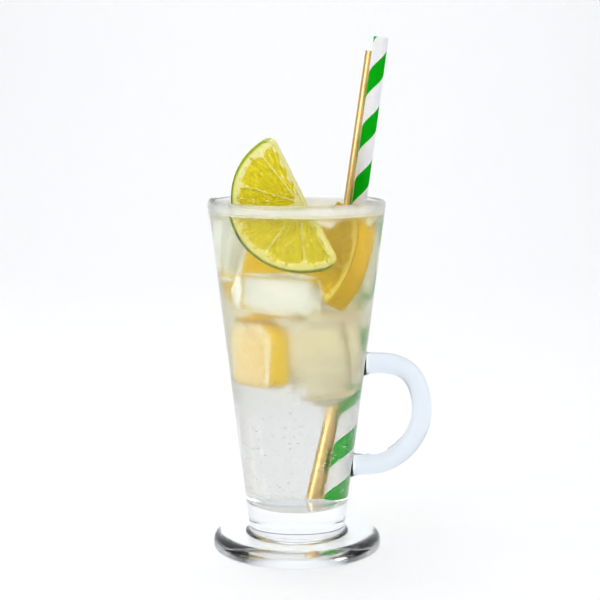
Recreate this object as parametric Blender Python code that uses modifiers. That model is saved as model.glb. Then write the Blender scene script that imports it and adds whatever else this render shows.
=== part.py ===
"""A footed glass mug of lime juice with a lime slice, a lemon slice and two straws.

Metres, +Z up. The origin is the middle of the foot's underside, the handle points to +X
and the lime slice leans on the wall at -Y.
"""
import math

import bmesh
import bpy
from mathutils import Matrix, Vector

MM = 0.001

# Glass
GLASS_HEIGHT = 150.0 * MM
RIM_RADIUS = 37.7 * MM
STEM_RADIUS = 22.15 * MM
STEM_HEIGHT = 20.0 * MM
WALL_AT_RIM = 2.7 * MM
WALL_AT_FLOOR = 3.6 * MM
FLOOR_HEIGHT = 19.5 * MM
FLOOR_FILLET = 1.5 * MM
FOOT_RADIUS = 36.3 * MM
FOOT_THICKNESS = 6.4 * MM
FOOT_FLAT_RADIUS = 31.0 * MM
FOOT_EDGE_DROP = 4.0 * MM
FOOT_CHAMFER = 0.9 * MM
STEM_FILLET = 2.2 * MM
WALL_RINGS = (105.0 * MM, 62.0 * MM, STEM_HEIGHT)
LIP_SHOULDER = 0.2
TURNING_STEPS = 72

# Handle: a flattened ring that leaves the wall at two heights
HANDLE_THICKNESS = 9.3 * MM
HANDLE_DEPTH = 8.4 * MM
HANDLE_CORNER = 2.8 * MM
HANDLE_BITE = 1.5 * MM
HANDLE_UPPER_HEIGHT = 79.8 * MM
HANDLE_LOWER_HEIGHT = 35.2 * MM
HANDLE_BOW = [
    (38.0 * MM, 79.9 * MM),
    (46.2 * MM, 77.4 * MM),
    (51.2 * MM, 71.6 * MM),
    (53.6 * MM, 62.5 * MM),
    (53.1 * MM, 54.0 * MM),
    (49.4 * MM, 45.9 * MM),
    (43.0 * MM, 39.4 * MM),
    (34.5 * MM, 35.7 * MM),
]

# Drink
FILL_HEIGHT = 145.0 * MM
GAP = 0.3 * MM

# Straws: where the axis meets the floor, how far it moves sideways for each unit of height
STRAW_WALL = 0.5 * MM
STRAW_SIDES = 24
PAPER_RADIUS = 3.1 * MM
PAPER_LENGTH = 199.0 * MM
PAPER_FOOT = (10.5 * MM, 9.0 * MM)
PAPER_LEAN = (0.125, -0.024)
GOLD_RADIUS = 2.4 * MM
GOLD_LENGTH = 194.0 * MM
GOLD_FOOT = (4.6 * MM, 13.0 * MM)
GOLD_LEAN = (0.14, 0.006)

# Citrus slices: each is part of a wheel, placed by the middle of its front face. Turn and tilt
# aim that face, and angles in the slice run from its right side over its top.
LIME_CENTRE = (1.1 * MM, -27.8 * MM, 150.7 * MM)
LIME_TURN = -13.0
LIME_TILT = -9.35
LIME_RADIUS = 28.9 * MM
LIME_THICKNESS = 5.5 * MM
LIME_CUT_ANGLE = 24.9
LIME_CUT_OFFSET = 1.3 * MM
LIME_CORNER = 4.6 * MM
LIME_MEMBRANE_ANGLE = 128.0
LEMON_CENTRE = (2.4 * MM, -1.4 * MM, 127.0 * MM)
LEMON_TURN = -45.0
LEMON_TILT = 22.0
LEMON_RADIUS = 27.0 * MM
LEMON_THICKNESS = 9.3 * MM
LEMON_WEDGE = (-46.0, 65.0)
LEMON_MEMBRANE_ANGLE = -44.0
SEGMENTS = 10
SEGMENT_DEPTH = 0.45 * MM
MEMBRANE = 0.9 * MM
RIND_BAND = 3.6 * MM
CORE_RADIUS = 2.6 * MM
SLICE_ROUNDING = 0.7 * MM
SLICE_STEPS = 36
SHARP_EDGE = 50.0
SEGMENT_CORNERS = ((-1.0, 0.88), (-0.8, 0.98))
SHARPEST_MITRE = 0.3

# Roughness of the plain finishes
GLASS_ROUGHNESS = 0.02
DRINK_ROUGHNESS = 0.05
FRUIT_ROUGHNESS = 0.35
PAPER_ROUGHNESS = 0.7
GOLD_ROUGHNESS = 0.2
DRINK_CLARITY = 0.8

GLASS_COLOUR = (0.86, 0.92, 0.93)
DRINK_COLOUR = (0.80, 0.76, 0.55)
LIME_COLOUR = (0.55, 0.58, 0.06)
LEMON_COLOUR = (0.80, 0.52, 0.05)
PAPER_COLOUR = (0.10, 0.50, 0.10)
GOLD_COLOUR = (0.85, 0.62, 0.22)


def clear_scene():
    for obj in list(bpy.data.objects):
        bpy.data.objects.remove(obj, do_unlink=True)


def new_collection(name):
    collection = bpy.data.collections.new(name)
    bpy.context.scene.collection.children.link(collection)
    return collection


def new_object(name, data, collection, matrix=None):
    obj = bpy.data.objects.new(name, data)
    collection.objects.link(obj)
    if matrix is not None:
        obj.matrix_world = matrix
    return obj


def give_material(obj, colour, roughness, metallic=0.0, transmission=0.0):
    material = bpy.data.materials.new(obj.name)
    material.use_nodes = True
    shader = material.node_tree.nodes["Principled BSDF"]
    shader.inputs["Base Color"].default_value = (*colour, 1.0)
    shader.inputs["Roughness"].default_value = roughness
    shader.inputs["Metallic"].default_value = metallic
    shader.inputs["Transmission Weight"].default_value = transmission
    obj.data.materials.append(material)


def hide_cutter(obj):
    obj.hide_render = True
    obj.display_type = "WIRE"


def cut(obj, cutter, operation="DIFFERENCE"):
    modifier = obj.modifiers.new(operation.title(), "BOOLEAN")
    modifier.operation = operation
    modifier.object = cutter
    modifier.solver = "EXACT"


def curve_to_mesh(obj, collection):
    """Replace a curve object by its mesh, with its caps welded on."""
    bpy.context.view_layer.update()
    evaluated = obj.evaluated_get(bpy.context.evaluated_depsgraph_get())
    mesh = bpy.data.meshes.new_from_object(evaluated)
    work = bmesh.new()
    work.from_mesh(mesh)
    bmesh.ops.remove_doubles(work, verts=work.verts, dist=1e-6)
    bmesh.ops.recalc_face_normals(work, faces=work.faces)
    work.to_mesh(mesh)
    work.free()
    name, matrix = obj.name, obj.matrix_world.copy()
    bpy.data.objects.remove(obj, do_unlink=True)
    return new_object(name, mesh, collection, matrix)


def arc(centre, radii, start, end, count):
    """Points of an elliptic arc in the turning plane, angles in degrees."""
    points = []
    for i in range(count + 1):
        angle = math.radians(start + (end - start) * i / count)
        points.append((centre[0] + radii[0] * math.cos(angle), centre[1] + radii[1] * math.sin(angle)))
    return points


def outer_radius(height):
    slope = (RIM_RADIUS - STEM_RADIUS) / (GLASS_HEIGHT - STEM_HEIGHT)
    return STEM_RADIUS + slope * (height - STEM_HEIGHT)


def inner_radius(height):
    share = (height - STEM_HEIGHT) / (GLASS_HEIGHT - STEM_HEIGHT)
    return outer_radius(height) - WALL_AT_FLOOR + (WALL_AT_FLOOR - WALL_AT_RIM) * share


def bowl_profile(clearance, top):
    """The inside of the bowl from its middle up to a height, moved inwards by a clearance."""
    floor = FLOOR_HEIGHT + clearance
    corner = floor + FLOOR_FILLET
    wall = inner_radius(corner) - clearance
    points = [(0.0, floor)]
    points += arc((wall - FLOOR_FILLET, corner), (FLOOR_FILLET, FLOOR_FILLET), -90, 0, 4)
    heights = [corner + (top - corner) * step / 4 for step in range(1, 5)]
    return points + [(inner_radius(height) - clearance, height) for height in heights]


def turned(name, profile, collection):
    """A closed turned solid from a profile that ends on the axis at both ends."""
    mesh = bpy.data.meshes.new(name)
    vertices = [(radius, 0.0, height) for radius, height in profile]
    mesh.from_pydata(vertices, [(i, i + 1) for i in range(len(vertices) - 1)], [])
    obj = new_object(name, mesh, collection)
    screw = obj.modifiers.new("Turn", "SCREW")
    screw.steps = TURNING_STEPS
    screw.render_steps = TURNING_STEPS
    screw.use_merge_vertices = True
    screw.merge_threshold = 0.00001
    return obj


def glass_profile():
    """Floor, inner wall, lip, outer wall, stem fillet, foot and underside, in that order."""
    lip = WALL_AT_RIM / 2
    lip_height = GLASS_HEIGHT - lip
    lip_middle = outer_radius(lip_height) - lip
    points = bowl_profile(0.0, lip_height - LIP_SHOULDER * lip)
    points += arc((lip_middle, lip_height), (lip, lip), 180, 0, 8)[1:]
    foot_top = FOOT_THICKNESS
    stem_foot = outer_radius(foot_top + STEM_FILLET)
    for height in WALL_RINGS:
        points.append((outer_radius(height), height))
    points += arc((stem_foot + STEM_FILLET, foot_top + STEM_FILLET), (STEM_FILLET, STEM_FILLET), 180, 270, 4)
    edge = FOOT_RADIUS - FOOT_FLAT_RADIUS
    points += arc((FOOT_FLAT_RADIUS, foot_top - FOOT_EDGE_DROP), (edge, FOOT_EDGE_DROP), 90, 0, 6)
    points += [(FOOT_RADIUS, FOOT_CHAMFER), (FOOT_RADIUS - FOOT_CHAMFER, 0.0), (0.0, 0.0)]
    return points


def handle_path():
    """Centre line of the handle in the XZ plane, from wall to wall."""
    upper = (outer_radius(HANDLE_UPPER_HEIGHT) - HANDLE_BITE, HANDLE_UPPER_HEIGHT)
    lower = (outer_radius(HANDLE_LOWER_HEIGHT) - HANDLE_BITE, HANDLE_LOWER_HEIGHT)
    return [upper] + HANDLE_BOW + [lower]


def rounded_rectangle(name, width, depth, corner, collection):
    """A closed flat curve that serves as the section of a swept piece."""
    curve = bpy.data.curves.new(name, "CURVE")
    curve.dimensions = "2D"
    points = []
    for sx, sy, start in ((1, 1, 0), (-1, 1, 90), (-1, -1, 180), (1, -1, 270)):
        centre = (sx * (width / 2 - corner), sy * (depth / 2 - corner))
        points += arc(centre, (corner, corner), start, start + 90, 3)
    spline = curve.splines.new("POLY")
    spline.points.add(len(points) - 1)
    for point, (x, y) in zip(spline.points, points):
        point.co = (x, y, 0.0, 1.0)
    spline.use_cyclic_u = True
    return new_object(name, curve, collection)


def make_handle(collection):
    section = rounded_rectangle("handle_section", HANDLE_THICKNESS, HANDLE_DEPTH, HANDLE_CORNER, collection)
    hide_cutter(section)
    curve = bpy.data.curves.new("handle_bow", "CURVE")
    curve.dimensions = "3D"
    curve.bevel_mode = "OBJECT"
    curve.bevel_object = section
    curve.use_fill_caps = True
    curve.resolution_u = 4
    path = handle_path()
    spline = curve.splines.new("BEZIER")
    spline.bezier_points.add(len(path) - 1)
    for point, (x, z) in zip(spline.bezier_points, path):
        point.co = (x, 0.0, z)
        point.handle_left_type = "AUTO"
        point.handle_right_type = "AUTO"
    handle = curve_to_mesh(new_object("handle_bow", curve, collection), collection)
    hide_cutter(handle)
    return handle


def make_glass(collection, cutters):
    glass = turned("glass", glass_profile(), collection)
    cut(glass, make_handle(cutters), "UNION")
    give_material(glass, GLASS_COLOUR, GLASS_ROUGHNESS, transmission=1.0)
    return glass


def straw_frame(foot, lean, radius):
    """Placing matrix of a straw whose lower rim stands just clear of the floor of the bowl."""
    direction = Vector((lean[0], lean[1], 1.0)).normalized()
    lift = GAP + radius * math.hypot(direction.x, direction.y)
    base = Vector((foot[0], foot[1], FLOOR_HEIGHT + lift))
    turn = Vector((0.0, 0.0, 1.0)).rotation_difference(direction).to_matrix().to_4x4()
    return Matrix.Translation(base) @ turn


def tube_mesh(name, radius, low, high, capped):
    """A cylinder along Z between two heights, open or closed at its ends."""
    mesh = bpy.data.meshes.new(name)
    work = bmesh.new()
    lift = Matrix.Translation((0.0, 0.0, (low + high) / 2))
    sizes = {"radius1": radius, "radius2": radius, "depth": high - low}
    bmesh.ops.create_cone(work, cap_ends=capped, segments=STRAW_SIDES, matrix=lift, **sizes)
    work.to_mesh(mesh)
    work.free()
    return mesh


def make_straw(name, radius, length, foot, lean, collection):
    frame = straw_frame(foot, lean, radius)
    straw = new_object(name, tube_mesh(name, radius, 0.0, length, False), collection, frame)
    wall = straw.modifiers.new("Wall", "SOLIDIFY")
    wall.thickness = STRAW_WALL
    wall.offset = -1.0
    return straw


def straw_cutter(name, radius, foot, lean, collection):
    """The room that a straw takes up in the drink, from below the floor to above the surface."""
    frame = straw_frame(foot, lean, radius)
    mesh = tube_mesh(name, radius + GAP, -2 * radius, FILL_HEIGHT, True)
    cutter = new_object(name, mesh, collection, frame)
    hide_cutter(cutter)
    return cutter


def slice_frame(centre, turn, tilt):
    """Placing matrix of a slice: its own Z is the normal of the front face, X runs to the right."""
    turn, tilt = math.radians(turn), math.radians(tilt)
    normal = Vector((math.sin(turn) * math.cos(tilt), -math.cos(turn) * math.cos(tilt), math.sin(tilt)))
    right = Vector((0.0, 0.0, 1.0)).cross(normal).normalized()
    up = normal.cross(right)
    return Matrix.Translation(centre) @ Matrix((right, up, normal)).transposed().to_4x4()


def cut_wheel(radius, cut_angle, offset, corner, steps):
    """Outline of a wheel cut along a straight line, its two corners rounded over a given reach."""
    open_angle = math.degrees(math.acos(offset / radius))
    start, end = cut_angle + open_angle, cut_angle + 360 - open_angle
    skipped = math.degrees(corner / radius)
    outline = arc((0.0, 0.0), (radius, radius), start + skipped, end - skipped, steps)
    along_cut = Vector((-math.sin(math.radians(cut_angle)), math.cos(math.radians(cut_angle)))) * corner
    lower_tip = Vector(arc((0.0, 0.0), (radius, radius), end, end, 1)[0])
    upper_tip = Vector(arc((0.0, 0.0), (radius, radius), start, start, 1)[0])
    outline += rounded_corner(Vector(outline[-1]), lower_tip, lower_tip + along_cut)
    outline += rounded_corner(upper_tip - along_cut, upper_tip, Vector(outline[0]))[:-1]
    return outline


def rounded_corner(before, tip, after):
    """Points of a parabola that leaves one side of a corner and meets the other."""
    points = []
    for step in (1, 2, 3, 4):
        share = step / 4
        points.append(tuple(before.lerp(tip, share).lerp(tip.lerp(after, share), share)))
    return points


def wheel_wedge(radius, start, end, steps):
    """Outline of a wedge of a wheel, with its tip at the middle."""
    return arc((0.0, 0.0), (radius, radius), start, end, steps) + [(0.0, 0.0)]


def grown(outline, distance):
    """A convex outline, listed anticlockwise, moved outwards by a distance."""
    moved = []
    for index, point in enumerate(outline):
        before = Vector(outline[index - 1])
        here = Vector(point)
        after = Vector(outline[(index + 1) % len(outline)])
        first = (here - before).normalized()
        second = (after - here).normalized()
        outward = Vector((first.y + second.y, -first.x - second.x)).normalized()
        stretch = distance / max(SHARPEST_MITRE, outward.dot(Vector((first.y, -first.x))))
        moved.append(tuple(here + outward * stretch))
    return moved


def clipped(outline, clip):
    """The part of an outline that lies inside a convex outline, both listed anticlockwise."""
    for index in range(len(clip)):
        start = Vector(clip[index - 1])
        inward = Vector((start.y - clip[index][1], clip[index][0] - start.x))
        kept = []
        for at in range(len(outline)):
            here, after = Vector(outline[at - 1]), Vector(outline[at])
            here_side, after_side = inward.dot(here - start), inward.dot(after - start)
            if here_side >= 0:
                kept.append(tuple(here))
            if (here_side >= 0) != (after_side >= 0):
                kept.append(tuple(here.lerp(after, here_side / (here_side - after_side))))
        outline = kept
    return outline


def prism(name, outlines, low, high, collection, matrix):
    """A flat curve filled and thickened between two heights, as a mesh."""
    curve = bpy.data.curves.new(name, "CURVE")
    curve.dimensions = "2D"
    curve.fill_mode = "BOTH"
    curve.extrude = (high - low) / 2
    for outline in outlines:
        spline = curve.splines.new("POLY")
        spline.points.add(len(outline) - 1)
        for point, (x, y) in zip(spline.points, outline):
            point.co = (x, y, 0.0, 1.0)
        spline.use_cyclic_u = True
    lifted = matrix @ Matrix.Translation((0.0, 0.0, (low + high) / 2))
    return curve_to_mesh(new_object(name, curve, collection, lifted), collection)


def segment_outline(radius, middle):
    """One flesh segment between its two membranes, with its outer corners rounded."""
    outer = radius - RIND_BAND
    half_step = math.pi / SEGMENTS
    corners = [(-1.0, CORE_RADIUS)] + [(share, reach * outer) for share, reach in SEGMENT_CORNERS]
    corners += [(0.0, outer)] + [(-share, at) for share, at in reversed(corners)]
    outline = []
    for share, at in corners:
        angle = middle + share * (half_step - MEMBRANE / 2 / at)
        outline.append((at * math.cos(angle), at * math.sin(angle)))
    return outline


def segment_outlines(outline, radius, membrane_angle):
    """All the flesh segments of a slice, cut off where the slice is cut off."""
    inside = grown(outline, -MEMBRANE)
    pieces = []
    for index in range(SEGMENTS):
        middle = math.radians(membrane_angle) + math.pi * (2 * index + 1) / SEGMENTS
        piece = clipped(segment_outline(radius, middle), inside)
        if len(piece) > 4:
            pieces.append(piece)
    return pieces


def make_slice(name, frame, outline, segments, thickness, collection, cutters):
    """A slice with rounded rims and its flesh segments sunk a little into both faces."""
    body = prism(name, [outline], -thickness, 0.0, collection, frame)
    rounding = body.modifiers.new("Rounding", "BEVEL")
    rounding.width = SLICE_ROUNDING
    rounding.segments = 2
    rounding.limit_method = "ANGLE"
    rounding.angle_limit = math.radians(SHARP_EDGE)
    faces = {"front": (-SEGMENT_DEPTH, thickness), "back": (-2 * thickness, SEGMENT_DEPTH - thickness)}
    for side, (low, high) in faces.items():
        pocket = prism(f"{name}_{side}_flesh", segments, low, high, cutters, frame)
        hide_cutter(pocket)
        cut(body, pocket)
    return body


def slice_cutter(name, frame, outline, thickness, collection):
    """The room that a slice takes up in the drink."""
    cutter = prism(name, [grown(outline, GAP)], -thickness - GAP, GAP, collection, frame)
    hide_cutter(cutter)
    return cutter


def make_drink(collection, cutters):
    top = (0.0, FILL_HEIGHT)
    profile = bowl_profile(GAP, FILL_HEIGHT) + [top]
    profile.reverse()
    drink = turned("drink", profile, collection)
    give_material(drink, DRINK_COLOUR, DRINK_ROUGHNESS, transmission=DRINK_CLARITY)
    for cutter in cutters:
        cut(drink, cutter)
    return drink


def main():
    clear_scene()
    parts = new_collection("glass_of_lime_juice")
    cutters = new_collection("cutters")
    make_glass(parts, cutters)

    lime_frame = slice_frame(LIME_CENTRE, LIME_TURN, LIME_TILT)
    lime_outline = cut_wheel(LIME_RADIUS, LIME_CUT_ANGLE, LIME_CUT_OFFSET, LIME_CORNER, SLICE_STEPS)
    lime_flesh = segment_outlines(lime_outline, LIME_RADIUS, LIME_MEMBRANE_ANGLE)
    lime = make_slice("lime_slice", lime_frame, lime_outline, lime_flesh, LIME_THICKNESS, parts, cutters)
    give_material(lime, LIME_COLOUR, FRUIT_ROUGHNESS)

    lemon_frame = slice_frame(LEMON_CENTRE, LEMON_TURN, LEMON_TILT)
    lemon_outline = wheel_wedge(LEMON_RADIUS, *LEMON_WEDGE, SLICE_STEPS)
    lemon_flesh = segment_outlines(lemon_outline, LEMON_RADIUS, LEMON_MEMBRANE_ANGLE)
    lemon = make_slice(
        "lemon_slice", lemon_frame, lemon_outline, lemon_flesh, LEMON_THICKNESS, parts, cutters
    )
    give_material(lemon, LEMON_COLOUR, FRUIT_ROUGHNESS)

    paper = make_straw("paper_straw", PAPER_RADIUS, PAPER_LENGTH, PAPER_FOOT, PAPER_LEAN, parts)
    give_material(paper, PAPER_COLOUR, PAPER_ROUGHNESS)
    gold = make_straw("gold_straw", GOLD_RADIUS, GOLD_LENGTH, GOLD_FOOT, GOLD_LEAN, parts)
    give_material(gold, GOLD_COLOUR, GOLD_ROUGHNESS, metallic=1.0)

    make_drink(parts, [
        straw_cutter("paper_straw_room", PAPER_RADIUS, PAPER_FOOT, PAPER_LEAN, cutters),
        straw_cutter("gold_straw_room", GOLD_RADIUS, GOLD_FOOT, GOLD_LEAN, cutters),
        slice_cutter("lime_room", lime_frame, lime_outline, LIME_THICKNESS, cutters),
        slice_cutter("lemon_room", lemon_frame, lemon_outline, LEMON_THICKNESS, cutters),
    ])


main()
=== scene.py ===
# %% [markdown]
# # A glass of lime juice
#
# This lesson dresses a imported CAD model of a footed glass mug. The real thing is a tall handled
# glass of iced juice, with half a lime slice leaning on its rim, a piece of lemon, a striped paper
# straw and a thin gold-coloured metal straw. The solids give every place and size. Here each of them
# gets its real surface, and the ice, the sunk fruit and the bubbles are added inside the drink.

# %% Load the solids
import math

import bmesh
import bpy
import numpy as np
from mathutils import Matrix, Vector, noise


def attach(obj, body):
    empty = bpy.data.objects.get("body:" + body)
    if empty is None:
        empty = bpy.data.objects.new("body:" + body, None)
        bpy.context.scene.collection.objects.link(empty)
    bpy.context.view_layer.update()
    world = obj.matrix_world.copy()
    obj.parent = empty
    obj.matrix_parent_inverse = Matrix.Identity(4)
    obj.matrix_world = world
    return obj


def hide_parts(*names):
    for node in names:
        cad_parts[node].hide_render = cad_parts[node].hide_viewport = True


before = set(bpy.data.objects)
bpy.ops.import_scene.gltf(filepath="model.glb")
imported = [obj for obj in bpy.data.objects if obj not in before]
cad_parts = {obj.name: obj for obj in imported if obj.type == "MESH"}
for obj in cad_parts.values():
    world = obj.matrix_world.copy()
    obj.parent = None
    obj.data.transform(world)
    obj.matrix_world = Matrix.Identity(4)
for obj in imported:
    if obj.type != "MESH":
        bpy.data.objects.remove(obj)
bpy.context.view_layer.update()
scene = bpy.context.scene
MM = 0.001
print("solids:", ", ".join(sorted(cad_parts)))

# %% [markdown]
# ## The sizes that everything shares
#
# The solids were drawn from a few driving sizes. The same numbers are written here once, so that a
# finished surface lands exactly where its solid is. A cone could be measured back from the mesh, but
# a named number is easier to read and to trust.

# %% Sizes of the glass
GLASS_HEIGHT = 150.0 * MM
RIM_RADIUS = 37.7 * MM
STEM_RADIUS = 22.15 * MM
STEM_HEIGHT = 20.0 * MM
WALL_AT_RIM = 2.7 * MM
WALL_AT_FLOOR = 3.6 * MM
FLOOR_HEIGHT = 19.5 * MM
FILL_HEIGHT = 145.0 * MM
GAP = 0.3 * MM

# How strongly each clear thing bends light
GLASS_INDEX = 1.51
JUICE_INDEX = 1.345
FILM_INDEX = 1.34
WATER_INDEX = 1.333
ICE_INDEX = 1.31


def outer_radius(height):
    slope = (RIM_RADIUS - STEM_RADIUS) / (GLASS_HEIGHT - STEM_HEIGHT)
    return STEM_RADIUS + slope * (height - STEM_HEIGHT)


def inner_radius(height):
    share = (height - STEM_HEIGHT) / (GLASS_HEIGHT - STEM_HEIGHT)
    return outer_radius(height) - WALL_AT_FLOOR + (WALL_AT_FLOOR - WALL_AT_RIM) * share


print(f"inside of the rim: {inner_radius(GLASS_HEIGHT) / MM:.1f} mm")

# %% [markdown]
# ## Small helpers for node trees
#
# Every finish and every repeated shape below is a node tree. One helper adds a node, sets its
# options and fills its inputs with either numbers or links, so that a tree reads from top to bottom
# like a recipe.

# %% Node helpers
def new_object(name, data):
    obj = bpy.data.objects.new(name, data)
    scene.collection.objects.link(obj)
    return obj


def add(tree, kind, sockets=None, **options):
    """Add a node; its inputs take numbers, colours or another node's output."""
    made = tree.nodes.new(kind)
    for option, value in options.items():
        setattr(made, option, value)
    for key, value in (sockets or {}).items():
        if isinstance(value, bpy.types.NodeSocket):
            tree.links.new(value, made.inputs[key])
        else:
            made.inputs[key].default_value = value
    return made


def wire(tree, kind, sockets=None, **options):
    """Add a node and give its first output."""
    return add(tree, kind, sockets, **options).outputs[0]


def maths(tree, operation, first, second=0.0, third=0.0, clamp=False):
    """One arithmetic step, in a shader tree or a geometry tree."""
    sockets = {0: first, 1: second, 2: third}
    return wire(tree, "ShaderNodeMath", sockets, operation=operation, use_clamp=clamp)


def vector_maths(tree, operation, first, second=(0.0, 0.0, 0.0)):
    return wire(tree, "ShaderNodeVectorMath", {0: first, 1: second}, operation=operation)


def blend(tree, share, first, second):
    """Mix two colours."""
    pair = [(*value, 1.0) if isinstance(value, tuple) else value for value in (first, second)]
    sockets = {0: share, 6: pair[0], 7: pair[1]}
    return add(tree, "ShaderNodeMix", sockets, data_type="RGBA", clamp_factor=True).outputs[2]


def between(tree, value, low, high, out_low=0.0, out_high=1.0):
    """Map a value from one range to another, held inside it."""
    sockets = {"Value": value, "From Min": low, "From Max": high, "To Min": out_low, "To Max": out_high}
    return add(tree, "ShaderNodeMapRange", sockets).outputs["Result"]


def linear(red, green, blue):
    """A colour as seen on a screen, 0 to 255, turned into the linear numbers that shaders use."""
    made = []
    for level in (red, green, blue):
        share = level / 255.0
        made.append(share / 12.92 if share <= 0.04045 else ((share + 0.055) / 1.055) ** 2.4)
    return tuple(made)


def new_material(name, roughness, **constants):
    """A material with its Principled shader, and plain numbers set on the shader's own sockets."""
    material = bpy.data.materials.new(name)
    material.use_nodes = True
    shader = material.node_tree.nodes["Principled BSDF"]
    shader.inputs["Roughness"].default_value = roughness
    for label, value in constants.items():
        shader.inputs[label.replace("_", " ")].default_value = value
    return material, material.node_tree, shader


def feed(shader, **results):
    """Link results to a shader's sockets, whose names are written with underscores."""
    for label, result in results.items():
        shader.id_data.links.new(result, shader.inputs[label.replace("_", " ")])


def own_height(tree):
    """How high the shaded point lies in its piece's own frame."""
    where = add(tree, "ShaderNodeTexCoord").outputs["Object"]
    return add(tree, "ShaderNodeSeparateXYZ", {0: where}).outputs["Z"]


def lamps_pass(tree, shader, tint=(1.0, 1.0, 1.0)):
    """Let lamp light go straight through a clear material, so that what is inside is lit."""
    path = add(tree, "ShaderNodeLightPath")
    clear = add(tree, "ShaderNodeBsdfTransparent", {"Color": (*tint, 1.0)})
    mixed = add(tree, "ShaderNodeMixShader", {0: path.outputs["Is Shadow Ray"], 1: shader.outputs[0]})
    tree.links.new(clear.outputs[0], mixed.inputs[2])
    tree.links.new(mixed.outputs[0], tree.nodes["Material Output"].inputs["Surface"])


# %% [markdown]
# ## Camera, light and floor
#
# Clear glass has no colour of its own: it shows what stands round it. A pale sweep behind and below
# gives the white ground, a slightly darker room gives thin grey edges that make glass readable, and
# the glass itself is given painted edge shade as well. Large soft lamps give long quiet highlights.
# The camera looks down by about eight degrees.

# %% Camera
camera = new_object("camera", bpy.data.cameras.new("camera"))
camera.location = (0.0, -0.56984, 0.18915)
camera.rotation_euler = (math.radians(90 - 8.18), 0.0, 0.0)
camera.data.sensor_width = 36.0
camera.data.lens = 81.015
camera.data.shift_x = 0.005
scene.camera = camera
scene.view_settings.view_transform = "Standard"
scene.cycles.max_bounces = 20
scene.cycles.transmission_bounces = 18
scene.cycles.transparent_max_bounces = 24
scene.cycles.caustics_reflective = False
scene.cycles.caustics_refractive = True
scene.cycles.use_denoising = True
scene.cycles.denoising_input_passes = "RGB"

# %% Room and lamps
world = bpy.data.worlds.new("pale_room")
scene.world = world
world.use_nodes = True
room = world.node_tree
heading = add(room, "ShaderNodeTexCoord").outputs["Generated"]
rise = add(room, "ShaderNodeSeparateXYZ", {0: heading}).outputs["Z"]
walls = add(room, "ShaderNodeValToRGB", {0: rise})
ROOM_COLOURS = {0.0: (0.26, 0.26, 0.30), 0.6: (0.80, 0.82, 0.86)}
for element, (place, colour) in zip(walls.color_ramp.elements, ROOM_COLOURS.items()):
    element.position = place
    element.color = (*colour, 1.0)
room.links.new(walls.outputs[0], room.nodes["Background"].inputs["Color"])
room.nodes["Background"].inputs["Strength"].default_value = 0.6


def soft_lamp(name, place, target, size, power):
    data = bpy.data.lights.new(name, "AREA")
    data.shape = "RECTANGLE"
    data.size, data.size_y = size
    data.energy = power
    lamp = new_object(name, data)
    lamp.location = place
    lamp.rotation_euler = (Vector(place) - Vector(target)).to_track_quat("Z", "Y").to_euler()


MIDDLE = (0.0, 0.0, 0.1)
soft_lamp("top_lamp", (-0.25, -0.15, 0.95), MIDDLE, (0.7, 0.7), 3.3)
soft_lamp("left_lamp", (-0.80, -0.60, 0.30), MIDDLE, (0.35, 0.6), 3.0)
soft_lamp("right_lamp", (0.80, -0.60, 0.35), MIDDLE, (0.35, 0.6), 3.0)
soft_lamp("backdrop_lamp", (0.0, 0.55, 1.5), (0.0, 1.6, 0.5), (1.6, 0.5), 10.0)

# %% Floor
FLOOR_DROP = 0.15 * MM


def sweep_mesh(name, width, front, back, rise, bend, steps):
    """A floor that curves up into a backdrop, as photographers hang their paper.

    It lies a hair below the foot, because two faces at one height would hide each other by chance.
    """
    profile = [(front, 0.0)]
    for step in range(steps + 1):
        angle = math.pi / 2 * step / steps
        profile.append((back - bend + bend * math.sin(angle), bend - bend * math.cos(angle)))
    profile.append((back, rise))
    mesh = bpy.data.meshes.new(name)
    vertices = [(side * width, y, z - FLOOR_DROP) for y, z in profile for side in (-1, 1)]
    faces = [(2 * i, 2 * i + 1, 2 * i + 3, 2 * i + 2) for i in range(len(profile) - 1)]
    mesh.from_pydata(vertices, [], faces)
    mesh.shade_smooth()
    return mesh


sweep = sweep_mesh("floor", width=3.0, front=-3.0, back=1.6, rise=2.4, bend=0.7, steps=20)
floor = new_object("floor", sweep)
PALE = {"Base_Color": (0.93, 0.93, 0.93, 1.0), "Emission_Color": (1.0, 1.0, 1.0, 1.0)}
floor.data.materials.append(new_material("pale_sweep", 0.9, **PALE, Emission_Strength=0.05)[0])

# %% [markdown]
# ## Helpers for geometry trees
#
# A repeated or turned shape is a geometry tree too. These few functions start and end such a tree,
# run it, keep the plain mesh that it makes, and hang the finished piece on the root body.

# %% Geometry tree helpers
def new_tree(name, sockets):
    """A geometry tree with named inputs, and the outputs of its Group Input node."""
    tree = bpy.data.node_groups.new(name, "GeometryNodeTree")
    tree.interface.new_socket("Geometry", in_out="INPUT", socket_type="NodeSocketGeometry")
    for label, kind in sockets:
        tree.interface.new_socket(label, in_out="INPUT", socket_type="NodeSocket" + kind)
    tree.interface.new_socket("Geometry", in_out="OUTPUT", socket_type="NodeSocketGeometry")
    return tree, tree.nodes.new("NodeGroupInput").outputs


def end_tree(tree, geometry, material):
    """Every tree ends alike: real geometry, smooth shading and its material."""
    real = add(tree, "GeometryNodeRealizeInstances", {"Geometry": geometry})
    smooth = add(tree, "GeometryNodeSetShadeSmooth", {"Geometry": real.outputs[0]})
    dressed = add(tree, "GeometryNodeSetMaterial", {"Geometry": smooth.outputs[0], "Material": material})
    tree.links.new(dressed.outputs[0], tree.nodes.new("NodeGroupOutput").inputs[0])


def named_value(tree, name):
    """A number that was stored on the geometry under a name."""
    return wire(tree, "GeometryNodeInputNamedAttribute", {"Name": name})


def spots_on(tree, given, selection, density):
    """Points at least a spacing apart on the selected part of a surface."""
    sockets = {
        "Mesh": given["Geometry"], "Selection": selection, "Distance Min": given["Spacing"],
        "Density Max": density, "Seed": given["Seed"],
    }
    method = {"distribute_method": "POISSON"}
    return add(tree, "GeometryNodeDistributePointsOnFaces", sockets, **method).outputs


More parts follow.
